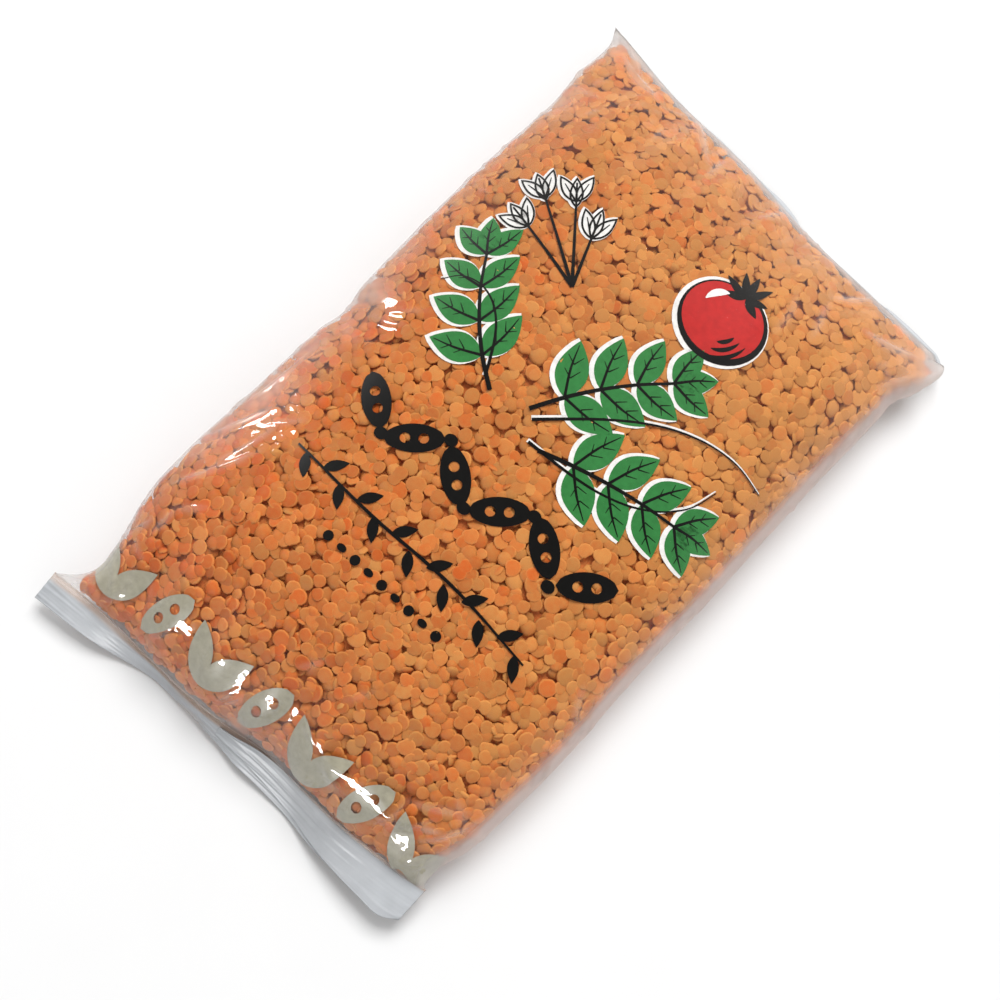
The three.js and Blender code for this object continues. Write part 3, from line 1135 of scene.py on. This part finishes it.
def rippled(end, u, part):
    """A fin's points with its crimp lines, folds and soft ripples."""
    middle, face = fin_point(end, u, part)
    across = middle[..., 0]
    inner = np.clip(part * 8, 0, 1)
    depth = through(FIN_DEPTH[end], across)
    relief = CRIMP["height"] * np.cos(2 * np.pi * part * depth / CRIMP["pitch"]) * inner
    for k, fold in enumerate(FOLDS["at"]):
        line = fold + 0.05 * np.sin(across / (13 + 4 * k) + 2 * k)
        strong = 0.6 + 0.4 * np.sin(across / (19 - 3 * k) + k)
        relief = relief + FOLDS["height"] * strong * bell(part - line, 0.05)
    relief = relief + 0.35 * np.sin(across / 8.3 + 1.7 * np.sin(across / 17)) * part * inner
    relief = relief + 0.1 * np.sin(across / 3.4 + 3 * np.sin(across / 23)) * part * inner
    return middle + SHIFT + face * relief[..., None], face


def add_slab(name, middle, face, milk, material):
    """A closed thin piece round a grid of middle points."""
    middle[..., 2] = np.maximum(middle[..., 2], FIN_THICK)
    points = np.concatenate([middle + face * FIN_THICK / 2, middle - face * FIN_THICK / 2])
    rows, columns = middle.shape[:2]
    top = np.arange(rows * columns).reshape(rows, columns)
    under = top + top.size
    loop = np.concatenate([top[0, :-1], top[:-1, -1], top[-1, :0:-1], top[:0:-1, 0]])
    wall = np.stack([loop, np.roll(loop, -1), np.roll(loop, -1) + top.size, loop + top.size], -1)
    piece = add_mesh(name, points, np.concatenate([grid_faces(top), grid_faces(under), wall]))
    milk = np.broadcast_to(milk, top.shape).ravel()
    add_values(piece, "milk", np.concatenate([milk, milk]))
    face_outwards(piece)
    dress(piece, material)


def add_fin(end, material):
    rows, columns = FIN_GRID
    u = np.sin(np.linspace(-np.pi / 2, np.pi / 2, columns))[None, :]
    part = np.linspace(-0.06, 1, rows)[:, None]
    middle, face = rippled(end, u, part)
    across = middle[..., 0] - SHIFT[0]
    milk = 0.42 + 0.46 * np.clip((part - 0.1) / 0.25, 0, 1)
    milk = milk - 0.22 * bell(across + 20, 13) if end == "bottom" else milk + 0.2
    milk = np.clip(milk + 0.05 * np.sin(across / 5 + 9 * part), 0.25, 0.95)
    if end == "top":
        middle = round_ears(middle)
    add_slab("seal_" + end, middle, face, milk, material)


def add_tab(material):
    """The opaque half of the lower fin, lifted along its inner edge."""
    rows, columns = FIN_GRID
    sides = pillow_pair(np.array([-1.0, 1.0]), 0.0)[0][:, 0]
    across = np.linspace(TAB["from"], TAB["to"], columns)[None, :]
    u = np.clip((across - sides[0]) / (sides[1] - sides[0]) * 2 - 1, -1, 0.9999)
    inner = through(TAB_INNER, across)
    t = np.linspace(0, 1, rows)[:, None]
    part = inner + (through(TAB_OUTER, across) - inner) * t
    corner = np.clip((across - 66) / 12, 0, 1) ** 2
    middle, face = rippled("bottom", u, part * (1 - 0.2 * corner * t))
    lift = TAB["lift"] + TAB["slit"] * bell(t, 0.15) * bell(across, 13)
    middle = middle + face * (lift + 0.7 * corner * (1 - t))[..., None]
    clear = np.clip((across - 12) / 12, 0, 1) * bell(t, 0.1)
    add_slab("seal_tab", middle, face, 0.97 - 0.6 * clear, material)


class BAG_OT_seals(bpy.types.Operator):
    """Makes the milky sealed fins, and the tab that lies over half of the lower one"""

    bl_idname = "bag.seals"
    bl_label = "Sealed fins"

    def execute(self, context):
        milk_colour = tuple(context.scene.bag_film.milk)
        material = seal_material("sealed_film", milk_colour)
        for end in ("bottom", "top"):
            add_fin(end, material)
        add_tab(seal_material("sealed_tab", tinted(milk_colour, 0.87)))
        return {"FINISHED"}


# The print, drawn flat and laid under the film
# A shape is a list of outlines in plan: the outer one first, then its holes.
# Each drawing gives pairs of an ink and a shape.

def turned(points, across, along, angle):
    """Plan points turned by an angle in degrees, then moved."""
    c, s = math.cos(math.radians(angle)), math.sin(math.radians(angle))
    return np.asarray(points) @ np.array([[c, s], [-s, c]]) + np.array([across, along])


def blade(across, along, angle, length, width, blunt=0.9, full=0.85, start=0.0):
    """A leaf or pod outline: lower powers make its ends blunter."""
    t = np.linspace(0, 1, 15)
    half = width / 2 * np.sin(np.pi * t ** full) ** blunt
    x = (t - start) * length
    outline = np.concatenate([np.stack([x, half], 1), np.stack([x[-2:0:-1], -half[-2:0:-1]], 1)])
    return turned(outline, across, along, angle)


def ellipse(across, along, wide, high, angle=0.0, points=28, sweep=360.0):
    t = np.radians(np.linspace(0, sweep, points, endpoint=sweep < 360))
    return turned(np.stack([wide / 2 * np.cos(t), high / 2 * np.sin(t)], 1), across, along, angle)


def stroke(points, widths):
    """A brush line through points, with a width at each."""
    points = np.asarray(points, float)
    knots = np.arange(len(points))
    dense = np.linspace(0, len(points) - 1, 6 * (len(points) - 1) + 1)
    line = np.stack([through(list(zip(knots, points[:, k])), dense) for k in (0, 1)], 1)
    way = unit(np.gradient(line, axis=0))
    side = np.stack([-way[:, 1], way[:, 0]], 1) * np.interp(dense, knots, widths)[:, None] / 2
    return np.concatenate([line + side, (line - side)[::-1]])


def grown(shape, by, shift):
    """The same outline, larger by a margin all round and moved a little."""
    ahead = unit(np.roll(shape, -1, 0) - np.roll(shape, 1, 0))
    out = np.stack([ahead[:, 1], -ahead[:, 0]], 1)
    x, y = shape.T
    area = np.sum(x * np.roll(y, -1) - y * np.roll(x, -1))
    return shape + out * by * (1 if area > 0 else -1) + np.array(shift)


def ahead_of(point, angle, distance):
    turn = math.radians(angle)
    return np.array(point) + distance * np.array([math.cos(turn), math.sin(turn)])


def sprig(start, angle, bend, steps, gap, length, width):
    """A stem with pairs of leaves, their black midribs and veins."""
    line = [np.array(start, float)]
    heading = angle
    leaves = []
    for k in range(steps):
        heading += bend
        line.append(ahead_of(line[-1], heading, gap))
        size = 1 - 0.32 * (k / steps) ** 1.4
        for side in (-1, 1):
            point = heading + side * (56 - 12 * k / steps)
            leaves.append((line[-1], point, size, side))
    leaves.append((line[-1], heading, 0.74, 1))
    for base, point, size, side in leaves:
        leaf = blade(*base, point, length * size, width * size)
        yield "green", [leaf]
        yield "white", [grown(leaf, 0.75, (-0.75, -0.45))]
        middle = ahead_of(base, point + 4 * side, length * size * 0.5)
        tip = ahead_of(base, point, length * size * 0.92)
        yield "black", [stroke([base, middle, tip], [0.95, 0.75, 0.25])]
        for part in (0.34, 0.58):
            rib = ahead_of(base, point, length * size * part)
            for turn in (-42, 42):
                vein = [rib, ahead_of(rib, point + turn, width * size * 0.36)]
                yield "black", [stroke(vein, [0.45, 0.2])]
    yield "black", [stroke(line, np.linspace(1.5, 0.9, len(line)))]


def tendril(start, angle, length, curl):
    """A long thin line that curls at its end, with a white line beside it."""
    line = [np.array(start, float)]
    for k in range(7):
        line.append(ahead_of(line[-1], angle + curl * k * k / 36, length / 7))
    widths = np.linspace(1.1, 0.3, len(line))
    yield "black", [stroke(line, widths)]
    yield "white", [stroke(np.array(line) + np.array([-0.55, 0.35]), widths * 1.3)]


def seed_head(across, along, angle, length, width):
    """A white seed head with a black outline and a black centre line."""
    outer = blade(across, along, angle, length, width)
    inner = blade(*ahead_of((across, along), angle, 0.9), angle, length - 2.0, width - 1.3)
    yield "black", [outer, inner]
    yield "white", [grown(outer, 0.5, (-0.4, -0.2))]
    tip = ahead_of((across, along), angle, length * 0.7)
    yield "black", [stroke([(across, along), tip], [0.8, 0.3])]


def fruit(across, along, wide, high):
    """A round red fruit with a black stalk, shade lines and a white gleam."""
    body = ellipse(across, along, wide, high, points=40)
    yield "red", [body]
    yield "white", [grown(body, 1.0, (-0.5, -0.4))]
    yield "black", [body, ellipse(across - 0.5, along + 0.7, wide - 2.6, high - 2.8, points=36)]
    for k, size in enumerate((0.8, 0.62, 0.44)):
        arc = ellipse(across, along, wide * size, high * size, -80 + 8 * k, 9, 74 - 10 * k)
        yield "black", [stroke(arc, [0.2, 0.9, 1.3, 1.5, 1.5, 1.4, 1.2, 0.8, 0.2])]
    gleam = ellipse(across, along, wide * 0.68, high * 0.66, 118, 7, 52)
    yield "gleam", [stroke(gleam, [0.3, 1.6, 2.3, 2.4, 2.2, 1.5, 0.3])]
    for turn in (18, 62, 100, 128, 168, 205, 335):
        length = 9.5 if 20 < turn < 170 else 7.5
        yield "black", [blade(across, along + high * 0.42, turn, length, 2.8)]


def pod(across, along, angle, length, width):
    """A plump pod with two small round windows."""
    windows = []
    for way in (-0.5, 0.5):
        at = ahead_of((across, along), angle, way * length * 0.3)
        windows.append(ellipse(*at, width * 0.36, width * 0.36, points=12))
    return [blade(across, along, angle, length, width, 0.5, 1.0, 0.5)] + windows


def drawings():
    """Every shape of the print, with its ink."""
    yield from sprig((-16, 6), 152, -7, 4, 11.5, 18, 10)
    yield from sprig((-3, 10), 66, -5, 4, 11.5, 19, 10.5)
    yield from sprig((8, 2), 22, -3, 4, 12, 19, 10.5)
    yield from tendril((-20, 8), 118, 46, 110)
    yield from tendril((0, 8), 44, 78, -50)
    yield from tendril((4, 2), 4, 66, 70)
    root = (-20, 48)
    for k, (angle, length) in enumerate([(166, 34), (148, 40), (130, 36), (112, 26)]):
        yield "black", [stroke([root, ahead_of(root, angle, length)], [1.2, 0.6])]
        for side in (-1, 0, 1):
            at = ahead_of(root, angle, length - 9 + 4 * abs(side) * k % 3)
            yield from seed_head(*at, angle + 30 * side, 11, 4.6)
    yield from fruit(22, 72, 30, 27)
    for k in range(6):
        angle = 40 if k % 2 else -38
        yield "black", pod(-40 + 17.6 * k, -20 - 1.4 * math.sin(k), angle, 19.5, 9.4)
        if k < 5:
            yield "black", [ellipse(-31.2 + 17.6 * k, -14 if k % 2 else -27, 4.6, 4.0, points=16)]
    twig = [(-48, -46.5), (-16, -48), (18, -47), (50, -49.5)]
    yield "black", [stroke(twig, [0.7, 1.1, 1.1, 0.6])]
    for k, at in enumerate(np.linspace(-44, 46, 13)):
        yield "black", [blade(at, -47 - 0.025 * (at + 44), 52 if k % 2 else -52, 8.4, 3.6)]
    for k, at in enumerate(np.linspace(-20, 25, 9)):
        yield "black", [ellipse(at, -61.5, 3.4, 2.4 if k % 2 else 3.4, 0, 14)]
    for k, at in enumerate(np.linspace(-64, 64, 7)):
        if k % 2:
            yield "grey", pod(at, -112, 62, 20, 9.5)
        else:
            for side in (-1, 1):
                yield "grey", [blade(at, -121, 90 + 34 * side, 19, 8.6)]


class BAG_OT_print(bpy.types.Operator):
    """Lays the printed shapes just under the film"""

    bl_idname = "bag.print"
    bl_label = "Print"

    CUT = 1.7
    LAYER = 0.05
    LAYERS = {"gleam": 0, "black": 1, "red": 2, "green": 2, "white": 3, "grey": 0}
    LOWEST = 5.0
    ABOVE = 0.2

    def execute(self, context):
        settings = context.scene.bag_print
        shared_work()
        film = WORK["film"].data
        tree = BVHTree.FromPolygons(
            [vertex.co for vertex in film.vertices], [tuple(face.vertices) for face in film.polygons])
        shapes = list(drawings())
        for ink, layer in self.LAYERS.items():
            mine = [shape for name, shape in shapes if name == ink]
            piece = self.lay(tree, "print_" + ink, mine, settings.sink + self.LAYER * layer)
            name = "white" if ink == "gleam" else ink
            shade = tuple(getattr(settings, name))
            low, high = tinted(shade, 0.9), tinted(shade, 1.1)
            material = plain_material("ink_" + ink, low, high, 0.4, 520, (0.08, 0.0003))
            dress(piece, material)
        return {"FINISHED"}

    def lay(self, tree, name, shapes, depth):
        """Flat shapes cut into small cells and dropped onto the film."""
        flat = bmesh.new()
        for shape in shapes:
            rings = [[Vector((x, y, 0)) for x, y in ring] for ring in shape]
            corners = [flat.verts.new(place) for ring in rings for place in ring]
            for triple in tessellate_polygon(rings):
                if len(set(triple)) == 3:
                    flat.faces.new([corners[k] for k in triple])
        for axis in (0, 1):
            places = [vertex.co[axis] for vertex in flat.verts]
            for at in np.arange(math.ceil(min(places) / self.CUT), max(places) / self.CUT) * self.CUT:
                place = Vector((0, 0, 0))
                place[axis] = at
                normal = Vector((1 - axis, axis, 0))
                everything = flat.verts[:] + flat.edges[:] + flat.faces[:]
                bmesh.ops.bisect_plane(
                    flat, geom=everything, plane_co=place, plane_no=normal, dist=1e-4)
        bmesh.ops.triangulate(flat, faces=flat.faces)
        lost = []
        for vertex in flat.verts:
            start = Vector((vertex.co.x * MM, vertex.co.y * MM, self.ABOVE))
            hit, normal, _, _ = tree.ray_cast(start, Vector((0, 0, -1)))
            if hit is None or hit.z < self.LOWEST * MM:
                lost.append(vertex)
            else:
                vertex.co = hit - normal * depth * MM
        bmesh.ops.delete(flat, geom=lost, context="VERTS")
        flat.normal_update()
        bmesh.ops.reverse_faces(flat, faces=[face for face in flat.faces if face.normal.z < 0])
        mesh = bpy.data.meshes.new(name)
        flat.to_mesh(mesh)
        flat.free()
        mesh.shade_smooth()
        return link_object(name, mesh)


# The stage

PHOTO_PIXELS = 1000
SENSOR_WIDTH = 36.0
CAMERA_TARGET = np.array([7.05, -13.2, 15.0]) + SHIFT
FLOOR_HALF = 3000
KEY = {"azimuth": 197, "elevation": 57, "far": 3.0, "size": 1.7}
BRIGHT_SKY = (60, 40)
# Lamps that the film mirrors: place and target in millimetres, width and height in metres
GLEAMS = {
    "window": ((-368, -30, 205), (-66, -62, 24), 0.075, 0.12),
    "front": ((31, -430, 168), (38, -109, 24), 0.12, 0.03),
}
# Brightness of the mirrored sky from the horizon up
MIRRORED_SKY = [(0.0, 0.9), (0.35, 0.55), (0.62, 0.16), (0.85, 0.04)]


def direction(azimuth, elevation):
    a, e = math.radians(azimuth), math.radians(elevation)
    return Vector((math.sin(a) * math.cos(e), -math.cos(a) * math.cos(e), math.sin(e)))


def facing(back):
    """Rotation of a camera or lamp whose back points the given way."""
    return back.to_track_quat("Z", "Y").to_euler()


def add_camera(settings):
    data = bpy.data.cameras.new("camera")
    data.sensor_width = SENSOR_WIDTH
    data.lens = SENSOR_WIDTH * settings.distance / MM / settings.scale / PHOTO_PIXELS
    data.clip_start = 0.01
    back = direction(settings.azimuth, settings.elevation)
    camera = link_object("camera", data)
    camera.location = Vector(CAMERA_TARGET * MM) + back * settings.distance
    camera.rotation_euler = facing(back)
    bpy.context.scene.camera = camera


def add_sky(settings):
    """Soft light, stronger on one side, but a dark ceiling for the film to mirror."""
    world = bpy.data.worlds.new("studio")
    world.use_nodes = True
    tree = world.node_tree
    tree.nodes.clear()
    way = make(tree, "TexCoord").outputs["Generated"]
    slots = [way, tuple(direction(*BRIGHT_SKY))]
    side = make(tree, "VectorMath", slots, operation="DOT_PRODUCT").outputs["Value"]
    strength = times_add(tree, side, settings.fill, settings.sky)
    even = make(tree, "Background", Color=(1, 1, 1, 1), Strength=strength)
    height = make(tree, "SeparateXYZ", Vector=way).outputs["Z"]
    stops = [(position, (bright,) * 3) for position, bright in MIRRORED_SKY]
    mirrored = make(tree, "Background", Color=ramp(tree, height, stops))
    glossy = make(tree, "LightPath").outputs["Is Glossy Ray"]
    make(tree, "OutputWorld", Surface=make(tree, "MixShader", [glossy, even, mirrored]))
    bpy.context.scene.world = world


def add_lamp(name, place, target, wide, tall, power):
    data = bpy.data.lights.new(name, "AREA")
    data.shape = "RECTANGLE"
    data.size = wide
    data.size_y = tall
    data.energy = power
    lamp = link_object(name, data)
    lamp.location = place
    lamp.rotation_euler = facing(Vector(place) - Vector(target))
    lamp.visible_camera = False
    return lamp


class BAG_OT_stage(bpy.types.Operator):
    """Sets the floor, the lamps, the sky and the camera"""

    bl_idname = "bag.stage"
    bl_label = "Stage"

    def execute(self, context):
        settings = context.scene.bag_stage
        half = FLOOR_HALF
        corners = [(-half, -half, 0), (half, -half, 0), (half, half, 0), (-half, half, 0)]
        floor = add_mesh("floor", corners, [(0, 1, 2, 3)], smooth=False)
        shade = tuple(settings.floor)
        floor.data.materials.append(
            plain_material("studio_floor", tinted(shade, 0.99), shade, 0.9, 30, (0.02, 0.0002)))
        floor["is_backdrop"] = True
        add_camera(settings)
        add_sky(settings)
        place = direction(KEY["azimuth"], KEY["elevation"]) * KEY["far"]
        lamp = add_lamp("key", place, (0, 0, 0), KEY["size"], KEY["size"], settings.key)
        lamp.visible_glossy = False
        for name, (place, target, wide, tall) in GLEAMS.items():
            place, target = Vector(place) * MM, Vector(target) * MM
            lamp = add_lamp(name, place, target, wide, tall, settings.gleam)
            lamp.visible_diffuse = False
        context.scene.view_settings.view_transform = "Standard"
        return {"FINISHED"}


class BAG_PT_panel(bpy.types.Panel):
    """Lists the steps that build the bag"""

    bl_idname = "BAG_PT_panel"
    bl_label = "Bag of lentils"
    bl_space_type = "VIEW_3D"
    bl_region_type = "UI"
    bl_category = "Lentils"

    def draw(self, context):
        for step in STEPS:
            self.layout.operator(step.bl_idname)


SETTINGS = {
    "bag_film": FilmSettings,
    "bag_lentils": LentilSettings,
    "bag_print": PrintSettings,
    "bag_stage": StageSettings,
}
STEPS = [BAG_OT_film, BAG_OT_lentils, BAG_OT_seals, BAG_OT_print, BAG_OT_stage]


def register():
    for kind in list(SETTINGS.values()) + STEPS + [BAG_PT_panel]:
        bpy.utils.register_class(kind)
    for name, kind in SETTINGS.items():
        setattr(bpy.types.Scene, name, bpy.props.PointerProperty(type=kind))


def unregister():
    for name in SETTINGS:
        delattr(bpy.types.Scene, name)
    for kind in [BAG_PT_panel] + STEPS[::-1] + list(SETTINGS.values()):
        bpy.utils.unregister_class(kind)


def main():
    register()
    bpy.ops.bag.film()
    bpy.ops.bag.lentils()
    bpy.ops.bag.seals()
    bpy.ops.bag.print()
    bpy.ops.bag.stage()
    boxes = {"cad": CAD_BOX, "visual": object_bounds()}
    {name: [list(corner) for corner in box] for name, box in boxes.items()}


if __name__ == "__main__":
    main()
